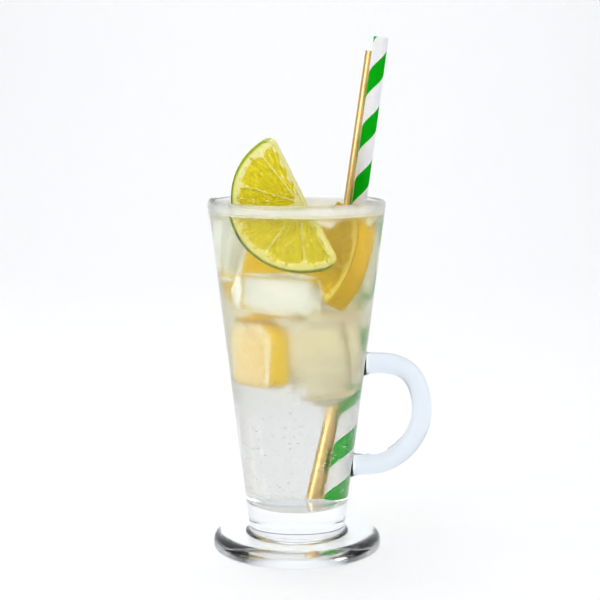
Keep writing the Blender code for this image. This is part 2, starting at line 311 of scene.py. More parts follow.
def luck(tree, low, high, seed):
    """A random number for each point or piece."""
    return add(tree, "FunctionNodeRandomValue", {2: low, 3: high, 8: seed}).outputs[1]


def scaled(tree, vector, factor):
    return wire(tree, "ShaderNodeVectorMath", {0: vector, "Scale": factor}, operation="SCALE")


def grow(name, tree, values, start=None):
    """Run a geometry tree and keep its result as a plain mesh."""
    obj = new_object(name, start or bpy.data.meshes.new(name))
    modifier = obj.modifiers.new(name, "NODES")
    modifier.node_group = tree
    for item in tree.interface.items_tree:
        if item.in_out == "INPUT" and item.name in values:
            modifier[item.identifier] = values[item.name]
    bpy.context.view_layer.update()
    evaluated = obj.evaluated_get(bpy.context.evaluated_depsgraph_get())
    mesh = bpy.data.meshes.new_from_object(evaluated)
    obj.modifiers.remove(modifier)
    obj.data = mesh
    return obj


def face_outwards(mesh):
    """Turn a closed mesh right side out if its signed volume is negative."""
    work = bmesh.new()
    work.from_mesh(mesh)
    if work.calc_volume(signed=True) < 0:
        bmesh.ops.reverse_faces(work, faces=work.faces)
    work.to_mesh(mesh)
    work.free()


def settle(obj, matrix):
    """Put the place of a piece into its mesh, so that its object stays at the origin."""
    obj.data.transform(matrix)
    return obj


def ride(obj, replaced=None):
    """Hang a finished piece on the root body, hide the solid it replaces and print its face count."""
    if replaced:
        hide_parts(replaced)
    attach(obj, "root")
    print(f"{obj.name}: {len(obj.data.polygons)} faces")
    return obj


# %% [markdown]
# ## Shared surface effects
#
# Real surfaces are never one flat colour. Two effects are used again and again, so each is a small
# shader group with named inputs: a cloudy change between two colours, and a field of small round
# beads for water drops and pores.

# %% Shader groups
def new_group(name, inputs, outputs):
    group = bpy.data.node_groups.new(name, "ShaderNodeTree")
    for label, kind, value in inputs:
        socket = group.interface.new_socket(label, in_out="INPUT", socket_type="NodeSocket" + kind)
        socket.default_value = value
    for label, kind in outputs:
        group.interface.new_socket(label, in_out="OUTPUT", socket_type="NodeSocket" + kind)
    return group, group.nodes.new("NodeGroupInput").outputs, group.nodes.new("NodeGroupOutput").inputs


def cloudy_group():
    """Two colours that change softly into one another over the surface."""
    inputs = [
        ("First", "Color", (1, 1, 1, 1)), ("Second", "Color", (0, 0, 0, 1)),
        ("Scale", "Float", 200.0), ("Contrast", "Float", 0.5),
    ]
    group, given, result = new_group("cloudy_colour", inputs, [("Colour", "Color"), ("Value", "Float")])
    where = add(group, "ShaderNodeTexCoord").outputs["Object"]
    sockets = {"Vector": where, "Scale": given["Scale"], "Detail": 4.0}
    clouds = wire(group, "ShaderNodeTexNoise", sockets)
    low = maths(group, "MULTIPLY", given["Contrast"], 0.5)
    share = between(group, clouds, low, maths(group, "SUBTRACT", 1.0, low))
    group.links.new(blend(group, share, given["First"], given["Second"]), result["Colour"])
    group.links.new(share, result["Value"])
    return group


def bead_group():
    """Round beads of mixed size: a mask that is 1 in a bead, and a domed height."""
    inputs = [("Scale", "Float", 600.0), ("Amount", "Float", 0.5)]
    group, given, result = new_group("beads", inputs, [("Mask", "Float"), ("Height", "Float")])
    where = add(group, "ShaderNodeTexCoord").outputs["Object"]
    cells = add(group, "ShaderNodeTexVoronoi", {"Vector": where, "Scale": given["Scale"]})
    chance = wire(group, "ShaderNodeSeparateColor", {"Color": cells.outputs["Color"]})
    size = maths(group, "MULTIPLY", maths(group, "LESS_THAN", chance, given["Amount"]), 0.45)
    dome = maths(group, "SUBTRACT", size, cells.outputs["Distance"], clamp=True)
    group.links.new(between(group, dome, 0.0, 0.06), result["Mask"])
    group.links.new(maths(group, "SQRT", dome), result["Height"])
    return group


CLOUDY = cloudy_group()
BEADS = bead_group()


def cloudy(tree, first, second, scale, contrast=0.5):
    sockets = {"First": (*first, 1.0), "Second": (*second, 1.0), "Scale": scale, "Contrast": contrast}
    return add(tree, "ShaderNodeGroup", sockets, node_tree=CLOUDY).outputs


def clouds(tree, scale, contrast=0.5):
    """The same drift as a plain number."""
    return cloudy(tree, (0, 0, 0), (1, 1, 1), scale, contrast)["Value"]


def beads(tree, scale, amount):
    return add(tree, "ShaderNodeGroup", {"Scale": scale, "Amount": amount}, node_tree=BEADS).outputs


def bump(tree, shader, height, distance, strength=1.0):
    sockets = {"Height": height, "Distance": distance, "Strength": strength}
    feed(shader, Normal=wire(tree, "ShaderNodeBump", sockets))


def attribute(tree, name):
    return add(tree, "ShaderNodeAttribute", attribute_name=name).outputs["Fac"]


# %% [markdown]
# ## A tree for everything that is turned
#
# The bowl, the drink and both straws are round: each is one outline carried round an axis. A Screw
# modifier could do it. Here a geometry tree wraps a flat grid instead: a row of the grid takes its
# radius and height from the outline, a column takes its angle, and the seam is welded. The same
# grid also gives a clean UV map, which the striped straw needs: U runs once round, V is in metres.

# %% The turning tree
def turning_tree():
    tree, given = new_tree("turned_form", [("Outline", "Object"), ("Steps", "Int"), ("Material", "Material")])
    outline = add(tree, "GeometryNodeObjectInfo", {"Object": given["Outline"]}).outputs["Geometry"]
    count = add(tree, "GeometryNodeAttributeDomainSize", {"Geometry": outline}).outputs["Point Count"]
    columns = maths(tree, "ADD", given["Steps"], 1.0)
    grid = add(tree, "GeometryNodeMeshGrid", {"Vertices X": columns, "Vertices Y": count}).outputs["Mesh"]
    index = tree.nodes.new("GeometryNodeInputIndex").outputs[0]
    column = maths(tree, "FLOOR", maths(tree, "DIVIDE", maths(tree, "ADD", index, 0.5), count))
    row = maths(tree, "SUBTRACT", index, maths(tree, "MULTIPLY", column, count))
    around = maths(tree, "DIVIDE", column, given["Steps"])
    position = tree.nodes.new("GeometryNodeInputPosition").outputs[0]
    wanted = {"Geometry": outline, "Value": position, "Index": row}
    sample = add(tree, "GeometryNodeSampleIndex", wanted, data_type="FLOAT_VECTOR").outputs["Value"]
    place = add(tree, "ShaderNodeSeparateXYZ", {0: sample}).outputs
    marked = grid
    for label, value in (("around", around), ("along", place["Z"])):
        sockets = {"Geometry": marked, "Name": label, "Value": value}
        marked = wire(tree, "GeometryNodeStoreNamedAttribute", sockets)
    angle = maths(tree, "MULTIPLY", around, 2 * math.pi)
    x = maths(tree, "MULTIPLY", place["X"], maths(tree, "COSINE", angle))
    y = maths(tree, "MULTIPLY", place["X"], maths(tree, "SINE", angle))
    point = wire(tree, "ShaderNodeCombineXYZ", {"X": x, "Y": y, "Z": place["Z"]})
    wrapped = wire(tree, "GeometryNodeSetPosition", {"Geometry": marked, "Position": point})
    named = {"X": named_value(tree, "around"), "Y": named_value(tree, "along")}
    pair = wire(tree, "ShaderNodeCombineXYZ", named)
    mapped = add(
        tree, "GeometryNodeStoreNamedAttribute", {"Geometry": wrapped, "Name": "UVMap", "Value": pair},
        data_type="FLOAT2", domain="CORNER",
    )
    welded = add(tree, "GeometryNodeMergeByDistance", {"Geometry": mapped.outputs[0], "Distance": 0.004 * MM})
    end_tree(tree, welded.outputs[0], given["Material"])
    return tree


TURNED = turning_tree()


def arc(centre, radii, start, end, count):
    """Points of an elliptic arc, angles in degrees."""
    points = []
    for i in range(count + 1):
        angle = math.radians(start + (end - start) * i / count)
        points.append((centre[0] + radii[0] * math.cos(angle), centre[1] + radii[1] * math.sin(angle)))
    return points


def turn(name, outline, steps, material):
    """Turn an outline of (radius, height) points round Z."""
    mesh = bpy.data.meshes.new(name + "_outline")
    mesh.from_pydata([(radius, 0.0, height) for radius, height in outline], [], [])
    guide = new_object(name + "_outline", mesh)
    obj = grow(name, TURNED, {"Outline": guide, "Steps": steps, "Material": material})
    bpy.data.objects.remove(guide)
    face_outwards(obj.data)
    return obj


# %% [markdown]
# ## The glass
#
# The mug is pressed glass: a cone on a round foot, with a thick rim and a handle that was drawn on
# while hot. One closed skin matters more than anything else here, because light is bent where it
# enters and leaves, and a hidden wall would show. So the bowl is turned, the handle is swept along
# its bow with a rounded section that flares where it meets the wall, and both are joined by one
# exact union. The glass is a little smoother than its solid, but has the same sizes.

# %% Clear glass
def glass_material():
    """Clear glass: a film of juice frosts the inside near the rim, fine smears dull the rest, and painted
    shade darkens it where it is seen edge-on.
    """
    calm = (0.35, 0.35, 0.35, 1.0)
    material, tree, shader = new_material(
        "clear_glass", 0.01, IOR=GLASS_INDEX, Transmission_Weight=1.0, Specular_Tint=calm
    )
    film = attribute(tree, "film")
    smears = clouds(tree, 90.0, 0.7)
    drops = beads(tree, 420.0, 0.55)
    frost = maths(tree, "MULTIPLY", film, between(tree, smears, 0.0, 1.0, 0.5, 0.8))
    rough = maths(tree, "ADD", frost, maths(tree, "MULTIPLY", smears, 0.012))
    rough = maths(tree, "MULTIPLY_ADD", attribute(tree, "worn"), 0.11, rough)
    # Painted shade: the base colour turns grey-blue where the glass is seen edge-on, standing in for the dark
    # room that real glass bends into view there.
    facing = add(tree, "ShaderNodeLayerWeight", {"Blend": 0.5}).outputs["Facing"]
    edge = between(tree, maths(tree, "POWER", facing, 2.5), 0.12, 1.0)
    edge = maths(tree, "MULTIPLY", edge, attribute(tree, "painted_edge_shade"))
    body = blend(tree, attribute(tree, "thick"), (0.965, 0.975, 0.985), (0.80, 0.86, 0.92))
    clear = blend(tree, edge, body, (0.42, 0.46, 0.51))
    feed(shader, Roughness=rough, Base_Color=blend(tree, film, clear, (0.97, 0.97, 0.96)))
    bump(tree, shader, maths(tree, "MULTIPLY", drops["Height"], film), 0.12 * MM, 0.3)
    lamps_pass(tree, shader, (0.97, 0.98, 0.98))
    return material


# %% Bowl and foot
FOOT_RADIUS = 36.3 * MM
FOOT_THICKNESS = 6.4 * MM
FOOT_FLAT_RADIUS = 31.0 * MM
FOOT_EDGE_DROP = 4.0 * MM
FOOT_CHAMFER = 0.9 * MM
FOOT_EDGE_LOW = 1.6 * MM
STEM_FILLET = 2.2 * MM
FLOOR_FILLET = 1.5 * MM
GLASS_STEPS = 160
WALL_ROWS = 44


def bowl_outline(clearance, top, rings=24):
    """The inside of the bowl from its middle up to a height, moved inwards by a clearance."""
    floor_height = FLOOR_HEIGHT + clearance
    corner = floor_height + FLOOR_FILLET
    wall = inner_radius(corner) - clearance
    points = [(wall * share / 8, floor_height) for share in range(7)]
    points += arc((wall - FLOOR_FILLET, corner), (FLOOR_FILLET, FLOOR_FILLET), -90, 0, 8)
    heights = [corner + (top - corner) * step / rings for step in range(1, rings + 1)]
    return points + [(inner_radius(height) - clearance, height) for height in heights]


def glass_outline():
    lip = WALL_AT_RIM / 2
    lip_height = GLASS_HEIGHT - lip
    points = bowl_outline(0.0, lip_height - 0.2 * lip, 40)
    points += arc((outer_radius(lip_height) - lip, lip_height), (lip, lip), 180, 0, 16)[1:]
    stem_foot = outer_radius(FOOT_THICKNESS + STEM_FILLET)
    drop = FOOT_THICKNESS + STEM_FILLET - lip_height
    wall = [lip_height + drop * step / WALL_ROWS for step in range(1, WALL_ROWS)]
    points += [(outer_radius(height), height) for height in wall]
    fillet = (STEM_FILLET, STEM_FILLET)
    points += arc((stem_foot + STEM_FILLET, FOOT_THICKNESS + STEM_FILLET), fillet, 180, 270, 8)
    flat = [stem_foot + STEM_FILLET, FOOT_FLAT_RADIUS]
    points += [(flat[0] + (flat[1] - flat[0]) * step / 4, FOOT_THICKNESS) for step in range(1, 4)]
    edge = (FOOT_RADIUS - FOOT_FLAT_RADIUS, FOOT_EDGE_DROP)
    points += arc((FOOT_FLAT_RADIUS, FOOT_THICKNESS - FOOT_EDGE_DROP), edge, 90, 0, 14)
    points += [(FOOT_RADIUS, FOOT_EDGE_LOW)]
    chamfer = (FOOT_CHAMFER, FOOT_CHAMFER)
    points += arc((FOOT_RADIUS - FOOT_CHAMFER, FOOT_CHAMFER), chamfer, 0, -90, 6)
    return points + [(FOOT_RADIUS * share / 8, 0.0) for share in range(7, -1, -1)]


GLASS = glass_material()
mug = turn("mug", glass_outline(), GLASS_STEPS, GLASS)
print("bowl and foot:", len(mug.data.polygons), "faces")

# %% Handle
HANDLE_THICKNESS = 9.3 * MM
HANDLE_DEPTH = 8.4 * MM
HANDLE_CORNER = 3.4 * MM
HANDLE_BITE = 1.5 * MM
HANDLE_ENDS = (79.8 * MM, 35.2 * MM)
HANDLE_BOW = [
    (38.0, 79.9), (46.2, 77.4), (51.2, 71.6), (53.6, 62.5),
    (53.1, 54.0), (49.4, 45.9), (43.0, 39.4), (34.5, 35.7),
]


def handle_tree():
    """Sweep a rounded section along a bow; its size swells near both ends."""
    sockets = [("Thickness", "Float"), ("Depth", "Float"), ("Corner", "Float"), ("Flare", "Float")]
    tree, given = new_tree("drawn_handle", sockets + [("Material", "Material")])
    bow = wire(tree, "GeometryNodeMeshToCurve", {"Mesh": given["Geometry"]})
    size = {"Width": given["Thickness"], "Height": given["Depth"]}
    section = wire(tree, "GeometryNodeCurvePrimitiveQuadrilateral", size)
    corners = {"Curve": section, "Radius": given["Corner"], "Count": 7}
    rounded = wire(tree, "GeometryNodeFilletCurve", corners, mode="POLY")
    along = tree.nodes.new("GeometryNodeSplineParameter").outputs["Factor"]
    to_end = maths(tree, "MINIMUM", along, maths(tree, "SUBTRACT", 1.0, along))
    near = between(tree, to_end, 0.0, 0.085, 1.0, 0.0)
    swell = maths(tree, "MULTIPLY", maths(tree, "POWER", near, 2.2), given["Flare"])
    scale = maths(tree, "ADD", swell, 1.0)
    along_bow = {"Curve": bow, "Profile Curve": rounded, "Scale": scale, "Fill Caps": True}
    swept = wire(tree, "GeometryNodeCurveToMesh", along_bow)
    welded = add(tree, "GeometryNodeMergeByDistance", {"Geometry": swept, "Distance": 0.002 * MM})
    end_tree(tree, welded.outputs[0], given["Material"])
    return tree


def bow_mesh(steps=12):
    """The handle's centre line as a smooth polyline through its measured points."""
    upper, lower = [(outer_radius(height) - HANDLE_BITE, height) for height in HANDLE_ENDS]
    knots = [Vector(upper)] + [Vector((x * MM, z * MM)) for x, z in HANDLE_BOW] + [Vector(lower)]
    knots = [2 * knots[0] - knots[1]] + knots + [2 * knots[-1] - knots[-2]]
    points = []
    for i in range(1, len(knots) - 2):
        before, here, after, beyond = knots[i - 1:i + 3]
        for step in range(steps):
            t = step / steps
            curve = 2 * here + (after - before) * t + (2 * before - 5 * here + 4 * after - beyond) * t ** 2
            points.append((curve + (3 * here - before - 3 * after + beyond) * t ** 3) / 2)
    points.append(knots[-2])
    mesh = bpy.data.meshes.new("bow")
    mesh.from_pydata([(x, 0.0, z) for x, z in points], [(i, i + 1) for i in range(len(points) - 1)], [])
    return mesh


handle_values = {
    "Thickness": HANDLE_THICKNESS, "Depth": HANDLE_DEPTH, "Corner": HANDLE_CORNER, "Flare": 0.30,
    "Material": GLASS,
}
handle = grow("handle", handle_tree(), handle_values, bow_mesh())
face_outwards(handle.data)
print("handle spans", [round(d / MM, 1) for d in handle.dimensions])

# %% One glass
def join_exactly(obj, other):
    """One exact union, so that no wall is left inside the glass."""
    modifier = obj.modifiers.new("join", "BOOLEAN")
    modifier.operation = "UNION"
    modifier.solver = "EXACT"
    modifier.object = other
    bpy.context.view_layer.update()
    evaluated = obj.evaluated_get(bpy.context.evaluated_depsgraph_get())
    mesh = bpy.data.meshes.new_from_object(evaluated)
    obj.modifiers.remove(modifier)
    obj.data = mesh
    bpy.data.objects.remove(other)


def paint(mesh, name, rule):
    """Store a number for each point, worked out from where the point is."""
    places = np.empty(len(mesh.vertices) * 3)
    mesh.vertices.foreach_get("co", places)
    layer = mesh.attributes.new(name, "FLOAT", "POINT")
    layer.data.foreach_set("value", rule(places.reshape(-1, 3)).astype(np.float32))


def ramp(values, low, high):
    """A smooth step from 0 to 1."""
    share = np.clip((values - low) / (high - low), 0.0, 1.0)
    return share * share * (3 - 2 * share)

# %% Where the glass is misted, thick or worn
MIST = (143.6 * MM, 145.0 * MM, 148.4 * MM, 149.4 * MM)
THIN_FOOT = 0.12


def film_rule(places):
    """1 on the inside of the wall above the drink, where juice and mist cling."""
    radius = np.hypot(places[:, 0], places[:, 1])
    height = places[:, 2]
    middle = outer_radius(height) - WALL_AT_RIM / 2
    band = ramp(height, MIST[0], MIST[1]) * ramp(-height, -MIST[3], -MIST[2])
    return band * (radius < middle)


def thick_rule(places):
    """1 in the handle, where solid glass looks bluer than the thin wall, and a trace in the foot."""
    radius = np.hypot(places[:, 0], places[:, 1])
    out = ramp(radius - outer_radius(places[:, 2]), 0.3 * MM, 2.0 * MM)
    return out * np.where(places[:, 2] < FLOOR_HEIGHT, THIN_FOOT, 1.0)


def worn_rule(places):
    """1 on the underside, which years on tables have ground dull, so that it scatters light."""
    return ramp(-places[:, 2], -0.6 * MM, -0.1 * MM)


def painted_edge_shade_rule(places):
    """How much painted edge shade the glass gets where it is seen edge-on: hardly any on the flat of the
    foot.
    """
    return np.where(places[:, 2] < FOOT_THICKNESS + 0.5 * MM, THIN_FOOT, 1.0)


join_exactly(mug, handle)
rules = {"film": film_rule, "thick": thick_rule, "painted_edge_shade": painted_edge_shade_rule, "worn": worn_rule}
for label, rule in rules.items():
    paint(mug.data, label, rule)
mug.data.shade_smooth()
mug.data.set_sharp_from_angle(angle=math.radians(38))
ride(mug, "glass")

# %% [markdown]
# ## The drink
#
# A real drink wets the wall, so light passes straight from glass into liquid. The usual trick is to
# let the liquid reach a hair into the wall: then there is no thin layer of air that would mirror
# everything. The juice is cloudy and yellow where the fruit floats and nearly clear further down,
# and its surface climbs a little where it meets the glass.

# %% Drink
WETTING = 0.15 * MM

# Heights between which the drink changes, and how far its clouds shift them
DRIFT = 14 * MM
CALM_DRIFT = 5 * MM
YELLOWS = (72 * MM, 100 * MM)
CLOUDS_OVER = (58 * MM, 70 * MM)
THICKENS = (70 * MM, 95 * MM)
CLEARS_AGAIN = (102 * MM, 122 * MM)

# Steps of the surface's climb at the wall: distance from the wall and height, in millimetres
MENISCUS = [(3.2, 0.0), (2.0, 0.08), (1.1, 0.28), (0.5, 0.58), (0.1, 0.95)]


def drink_outline():
    outline = bowl_outline(-WETTING, FILL_HEIGHT + MENISCUS[-1][1] * MM, 60)
    edge = inner_radius(FILL_HEIGHT)
    outline += [(edge - away * MM, FILL_HEIGHT + up * MM) for away, up in reversed(MENISCUS)]
    return outline + [(edge * share / 8, FILL_HEIGHT) for share in range(6, -1, -1)]


def drink_material():
    """Lime juice: cloudy yellow above, clear and faintly grey below."""
    calm = (0.2, 0.2, 0.2, 1.0)
    material, tree, shader = new_material(
        "lime_juice", 0.03, IOR=JUICE_INDEX, Transmission_Weight=1.0, Specular_Tint=calm
    )
    height = own_height(tree)
    drift = clouds(tree, 45.0, 0.5)
    level = maths(tree, "ADD", height, maths(tree, "MULTIPLY", drift, DRIFT))
    juicy = between(tree, level, *YELLOWS)
    tint = blend(tree, juicy, (0.845, 0.84, 0.80), (0.97, 0.93, 0.70))
    calmer = maths(tree, "ADD", height, maths(tree, "MULTIPLY", drift, CALM_DRIFT))
    haze = between(tree, calmer, *CLOUDS_OVER, 0.04, 0.34)
    denser = between(tree, calmer, *THICKENS, 0.0, 0.10)
    clearer = between(tree, calmer, *CLEARS_AGAIN, 0.0, 0.20)
    rough = maths(tree, "SUBTRACT", maths(tree, "ADD", haze, denser), clearer)
    feed(shader, Base_Color=tint, Roughness=rough)
    lamps_pass(tree, shader, (0.97, 0.96, 0.90))
    return material


drink = turn("juice", drink_outline(), GLASS_STEPS, drink_material())
drink.data.set_sharp_from_angle(angle=math.radians(50))
ride(drink, "drink")

# %% [markdown]
# ## The film above the drink
#
# Above the surface the inside of the wall is wet: juice, tiny bubbles and melted frost make a
# whitish band that hides most of what is behind it. It is far too thin to be seen from the side, so
# it is one turned ring a hair inside the wall, with an alpha that breaks up towards its upper edge.

# %% Film
FILM_DEPTH = 0.12 * MM
FILM_INSET = 0.02 * MM
FILM_LOW = FILL_HEIGHT - 0.3 * MM
FILM_HIGH = FILL_HEIGHT + 3.9 * MM
FILM_FADES = FILL_HEIGHT + 2.6 * MM
FILM_ROWS = 12


def film_material():
    material, tree, shader = new_material("juice_film", 0.45, IOR=FILM_INDEX)
    clumps = clouds(tree, 260.0, 0.5)
    fade = between(tree, own_height(tree), FILM_FADES, FILM_HIGH, 1.0, 0.25)
    colour = blend(tree, clumps, linear(246, 245, 238), linear(255, 255, 252))
    cover = maths(tree, "MULTIPLY", fade, between(tree, clumps, 0.0, 1.0, 0.40, 0.72))
    feed(shader, Base_Color=colour, Alpha=cover)
    bump(tree, shader, beads(tree, 700.0, 0.5)["Height"], 0.2 * MM, 0.5)
    return material


def film_outline():
    heights = [FILM_LOW + (FILM_HIGH - FILM_LOW) * step / FILM_ROWS for step in range(FILM_ROWS + 1)]
    outer = [(inner_radius(height) - FILM_INSET, height) for height in heights]
    return outer + [(radius - FILM_DEPTH, height) for radius, height in reversed(outer)] + [outer[0]]


ride(turn("juice_film", film_outline(), GLASS_STEPS, film_material()))

# %% [markdown]
# ## The straws
#
# The wide straw is wound from paper strips, so its green stripe is a spiral that climbs to the
# right. The stripe could be painted in strips of geometry, but a spiral is simply the sum of "how
# far up" and "how far round", and the UV map already holds both. The thin straw is a tube of
# gold-coloured metal. Both are turned with their wall, so that the open top shows its real edge.

# %% Striped paper
STRAW_WALL = 0.5 * MM
STRAW_STEPS = 48
PAPER_RADIUS = 3.1 * MM
PAPER_LENGTH = 199.0 * MM
PAPER_FOOT = (10.5 * MM, 9.0 * MM)
PAPER_LEAN = (0.125, -0.024)
GOLD_RADIUS = 2.4 * MM
GOLD_LENGTH = 194.0 * MM
GOLD_FOOT = (4.6 * MM, 13.0 * MM)
GOLD_LEAN = (0.14, 0.006)
STRIPE_PITCH = 22.85 * MM
STRIPE_START = 1.06
STRIPE_SHARE = 0.47


def paper_material():
    """White paper with one green spiral, a fine seam beside it and a faint fibre."""
    material, tree, shader = new_material("striped_paper", 0.62, Specular_IOR_Level=0.05)
    mapped = wire(tree, "ShaderNodeUVMap", uv_map="UVMap")
    parts = add(tree, "ShaderNodeSeparateXYZ", {0: mapped}).outputs
    turns = maths(tree, "MULTIPLY_ADD", parts["Y"], 1 / STRIPE_PITCH, -STRIPE_START)
    fibre = clouds(tree, 1400.0, 0.3)
    wobble = maths(tree, "MULTIPLY", fibre, 0.012)
    phase = maths(tree, "FRACT", maths(tree, "ADD", maths(tree, "SUBTRACT", turns, parts["X"]), wobble))
    rise = between(tree, phase, 0.0, 0.015)
    fall = between(tree, phase, STRIPE_SHARE, STRIPE_SHARE + 0.015, 1.0, 0.0)
    stripe = maths(tree, "MULTIPLY", rise, fall)
    green = cloudy(tree, linear(0, 158, 4), linear(0, 174, 16), 700.0)["Colour"]
    white = cloudy(tree, linear(243, 241, 240), linear(232, 232, 236), 500.0)["Colour"]
    seam = maths(tree, "ABSOLUTE", maths(tree, "SUBTRACT", phase, 0.97))
    groove = between(tree, seam, 0.0, 0.008)
    height = maths(tree, "ADD", maths(tree, "MULTIPLY", groove, 0.7), maths(tree, "MULTIPLY", fibre, 0.3))
    bump(tree, shader, height, 0.06 * MM, 0.7)
    rough = between(tree, fibre, 0.0, 1.0, 0.5, 0.7)
    feed(shader, Base_Color=blend(tree, stripe, white, green), Roughness=rough)
    return material

# %% Gold-coloured metal
def gold_material():
    """Polished gold-coloured metal with drawing marks along it and a few dried spots."""
    material, tree, shader = new_material("gold_metal", 0.35, Metallic=1.0)
    colour = cloudy(tree, linear(255, 226, 164), linear(250, 210, 134), 160.0)["Colour"]
    spots = beads(tree, 700.0, 0.25)["Mask"]
    colour = blend(tree, spots, colour, linear(242, 202, 130))
    mapped = wire(tree, "ShaderNodeUVMap", uv_map="UVMap")
    stretched = vector_maths(tree, "MULTIPLY", mapped, (60.0, 25.0, 1.0))
    marks = wire(tree, "ShaderNodeTexNoise", {"Vector": stretched, "Scale": 3.0, "Detail": 3.0})
    feed(shader, Base_Color=colour, Roughness=between(tree, marks, 0.3, 0.7, 0.36, 0.50))
    bump(tree, shader, marks, 0.01 * MM, 0.4)
    return material

# %% Both straws
def straw_frame(foot, lean, radius):
    """Placing matrix of a straw whose lower rim stands just clear of the floor."""
    direction = Vector((lean[0], lean[1], 1.0)).normalized()
    lift = GAP + radius * math.hypot(direction.x, direction.y)
    base = Vector((foot[0], foot[1], FLOOR_HEIGHT + lift))
    turned = Vector((0.0, 0.0, 1.0)).rotation_difference(direction).to_matrix().to_4x4()
    return Matrix.Translation(base) @ turned


def straw_outline(radius, length, rounding, rings=60):
    """The wall of a tube as a closed loop: up the outside, over the rim and down the inside."""
    inside = radius - STRAW_WALL
    low, high = rounding, length - rounding
    heights = [low + (high - low) * step / rings for step in range(rings + 1)]
    corner = (rounding, rounding)
    loop = [(radius, height) for height in heights]
    loop += arc((radius - rounding, high), corner, 0, 90, 3)[1:]
    loop += arc((inside + rounding, high), corner, 90, 180, 3)
    loop += [(inside, height) for height in reversed(heights[1:-1])]
    loop += arc((inside + rounding, low), corner, 180, 270, 3)
    loop += arc((radius - rounding, low), corner, 270, 360, 3)[:-1]
    return loop + [loop[0]]


def make_straw(slot, radius, length, foot, lean, rounding, material):
    straw = turn(f"{slot}_straw_skin", straw_outline(radius, length, rounding), STRAW_STEPS, material)
    settle(straw, straw_frame(foot, lean, radius))
    return ride(straw, f"{slot}_straw")


paper_straw = make_straw(
    "paper", PAPER_RADIUS, PAPER_LENGTH, PAPER_FOOT, PAPER_LEAN, 0.1 * MM, paper_material()
)
gold_straw = make_straw("gold", GOLD_RADIUS, GOLD_LENGTH, GOLD_FOOT, GOLD_LEAN, 0.12 * MM, gold_material())

# %% [markdown]
# ## Citrus slices
#
# A slice is a flat wheel: thin coloured rind, white pith, and ten segments of juice sacs between pale
# membranes. It could be cut from a solid wheel, but then the rows of faces would not follow the rim.
# Here rows run from the middle of the front, over the rounded rim, across the side and back to the
# middle of the rear, so any outline gives an even skin. Where a point lies in the wheel tells
# whether it is rind, pith, membrane or flesh, and that is stored on the mesh for the shaders.

# %% Wheel rules
SEGMENTS = 10
RIND_BAND = 3.6 * MM
CORE_RADIUS = 2.2 * MM
FLESH_DEPTH = 0.45 * MM


def slice_frame(centre, turn_angle, tilt):
    """Placing matrix of a slice: its own Z is the normal of the front face, X runs to the right."""
    turned, tilted = math.radians(turn_angle), math.radians(tilt)
    flat = math.cos(tilted)
    normal = Vector((math.sin(turned) * flat, -math.cos(turned) * flat, math.sin(tilted)))
    right = Vector((0.0, 0.0, 1.0)).cross(normal).normalized()
    return Matrix.Translation(centre) @ Matrix((right, normal.cross(right), normal)).transposed().to_4x4()


def from_spine(places, spine):
    """Flat coordinates round the core, which is a point, or a line where the cut runs lengthwise."""
    beyond = places[:, 1] - np.clip(places[:, 1], 0.0, spine)
    return places[:, 0], np.where(spine > 0.0, beyond, places[:, 1])


def flesh_rule(places, radius, membrane_angle, membrane, spine, band_width, core, cut=None):
    """1 inside a segment, 0 on pith, core and membranes; the segments' outer corners are round.

    The cut of a half wheel runs beside its middle, so a band of dried pulp lines it.
    """
    across_core, along_core = from_spine(places, spine)
    reach = np.hypot(across_core, along_core)
    band = 1.0
    if cut:
        slope = math.radians(cut[0])
        away = cut[1] - places[:, 0] * math.cos(slope) - places[:, 1] * math.sin(slope)
        wave = 0.5 * MM * np.sin(places[:, 1] * 1100) + 0.35 * MM * np.sin(places[:, 0] * 2300 + 1.0)
        band = ramp(away + wave, 0.7 * MM, 1.9 * MM)
    angle = np.arctan2(along_core, across_core) - math.radians(membrane_angle)
    share = (angle * SEGMENTS / (2 * math.pi)) % 1.0
    across = np.abs(2 * share - 1)
    to_wall = np.sin((1 - across) * math.pi / SEGMENTS) * np.maximum(reach, 0.3 * spine)
    outer = (radius - band_width) * (1 - 0.10 * across ** 5)
    inside = ramp(outer - reach, 0.0, 0.5 * MM) * ramp(reach, core, core + 0.6 * MM)
    return band * inside * ramp(to_wall, membrane * 0.6, membrane * 1.2)


def rind_rule(places, radius, rind, spine=0.0):
    reach = np.hypot(*from_spine(places, spine))
    return ramp(reach, radius - rind - 0.25 * MM, radius - rind + 0.1 * MM)


# %% Outlines
def half_wheel(radius, cut_angle, offset, corner):
    """Outline of a wheel cut along a straight line, with its two corners rounded."""
    slope = math.radians(cut_angle)
    opening = math.degrees(math.acos(offset / radius))
    start, end = cut_angle + opening, cut_angle + 360 - opening
    skipped = math.degrees(corner / radius)
    outline = arc((0.0, 0.0), (radius, radius), start + skipped, end - skipped, 90)
    along = Vector((-math.sin(slope), math.cos(slope))) * corner
    tips = [Vector(arc((0.0, 0.0), (radius, radius), angle, angle, 1)[0]) for angle in (end, start)]
    outline += corner_points(Vector(outline[-1]), tips[0], tips[0] + along)
    return outline + corner_points(tips[1] - along, tips[1], Vector(outline[0]))[:-1]


def corner_points(before, tip, after, steps=8):
    shares = [step / steps for step in range(1, steps + 1)]
    return [tuple(before.lerp(tip, share).lerp(tip.lerp(after, share), share)) for share in shares]


def wedge(radius, start, end):
    return arc((0.0, 0.0), (radius, radius), start, end, 60) + [(0.0, 0.0)]


def lengthwise(radius, length):
    """Outline of the end of a fruit that was cut from end to end: an arch on a straight base."""
    corner = 0.35 * radius
    left = arc((corner - radius, corner), (corner, corner), 180, 270, 10)
    right = arc((radius - corner, corner), (corner, corner), 270, 360, 10)
    return arc((0.0, length), (radius, radius), 0, 180, 60) + left + right


def evenly(outline, count):
    """Points at equal steps along a closed outline."""
    loop = np.array(outline + [outline[0]])
    steps = np.hypot(*np.diff(loop, axis=0).T)
    travelled = np.concatenate([[0.0], np.cumsum(steps)])
    wanted = np.arange(count) * travelled[-1] / count
    return np.stack([np.interp(wanted, travelled, loop[:, axis]) for axis in (0, 1)], axis=1)


